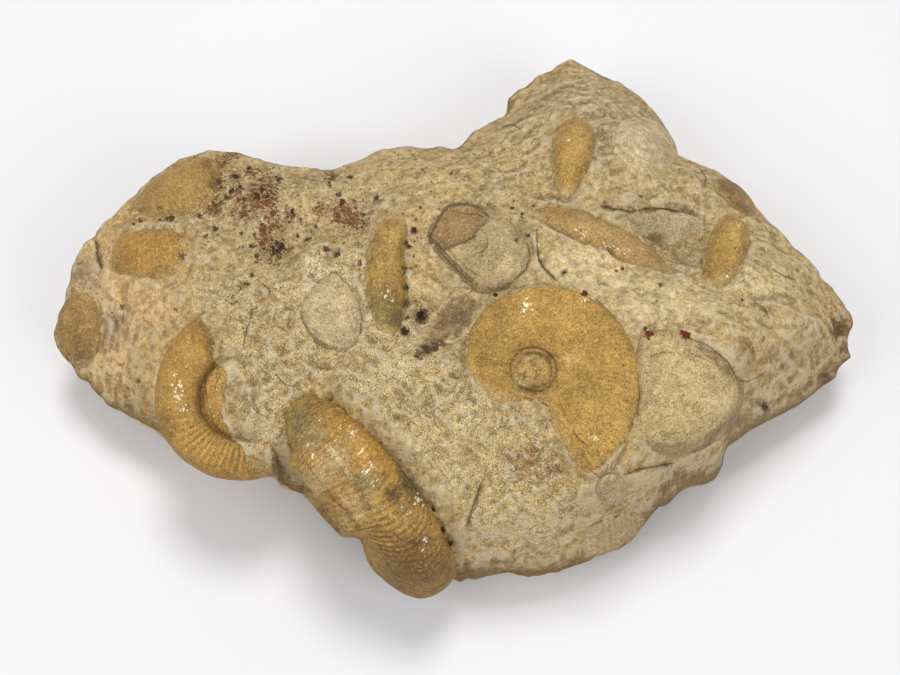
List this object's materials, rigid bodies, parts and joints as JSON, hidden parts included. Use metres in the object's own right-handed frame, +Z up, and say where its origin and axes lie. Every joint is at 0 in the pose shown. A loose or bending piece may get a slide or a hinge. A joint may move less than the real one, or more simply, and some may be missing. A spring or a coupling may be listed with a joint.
{
  "type": "ammonite cluster plate",
  "caption": "Block of cream limestone holding a cluster of golden coiled ammonite fossils and pale shell moulds, standing proud of the tooled upper face, for display.",
  "frame": {"origin": "under the middle of the bounding box, on the resting face", "axes": "+X along the block's long side, +Y to its far side as seen in the picture, +Z up out of the fossil face"},
  "size_m": [0.1908, 0.1418, 0.0496],
  "materials": {
    "matrix_block": "matt, chalky, tooled",
    "ammonite_flat": "matt, fine-grained",
    "ammonite_ribbed": "matt, fine-grained",
    "ammonite_standing": "matt, fine-grained",
    "ammonite_back_far": "matt, fine-grained",
    "ammonite_back_band": "matt, fine-grained",
    "ammonite_back_right": "matt, fine-grained",
    "ammonite_back_middle": "matt, fine-grained",
    "ammonite_flank_left": "matt, fine-grained",
    "ammonite_back_corner": "matt, fine-grained",
    "ammonite_scrap_right": "matt, fine-grained",
    "ammonite_knob_left": "matt, fine-grained",
    "shell_tilted": "matt, fine-grained",
    "shell_oval_left": "matt, fine-grained",
    "shell_round_right": "matt, fine-grained",
    "shell_dark_hollow": "matt, fine-grained",
    "shell_dome_far": "matt, fine-grained",
    "shell_lens_hollow": "matt, fine-grained",
    "shell_ribbed_front": "matt, fine-grained",
    "shell_small_front": "matt, fine-grained"
  },
  "bodies": {
    "root": {"matrix_block": "matrix_block", "ammonite_flat": "ammonite_flat", "ammonite_ribbed": "ammonite_ribbed", "ammonite_standing": "ammonite_standing", "ammonite_back_far": "ammonite_back_far", "ammonite_back_band": "ammonite_back_band", "ammonite_back_right": "ammonite_back_right", "ammonite_back_middle": "ammonite_back_middle", "ammonite_flank_left": "ammonite_flank_left", "ammonite_back_corner": "ammonite_back_corner", "ammonite_scrap_right": "ammonite_scrap_right", "ammonite_knob_left": "ammonite_knob_left", "shell_tilted": "shell_tilted", "shell_oval_left": "shell_oval_left", "shell_round_right": "shell_round_right", "shell_dark_hollow": "shell_dark_hollow", "shell_dome_far": "shell_dome_far", "shell_lens_hollow": "shell_lens_hollow", "shell_ribbed_front": "shell_ribbed_front", "shell_small_front": "shell_small_front"}
  },
  "joints": []
}
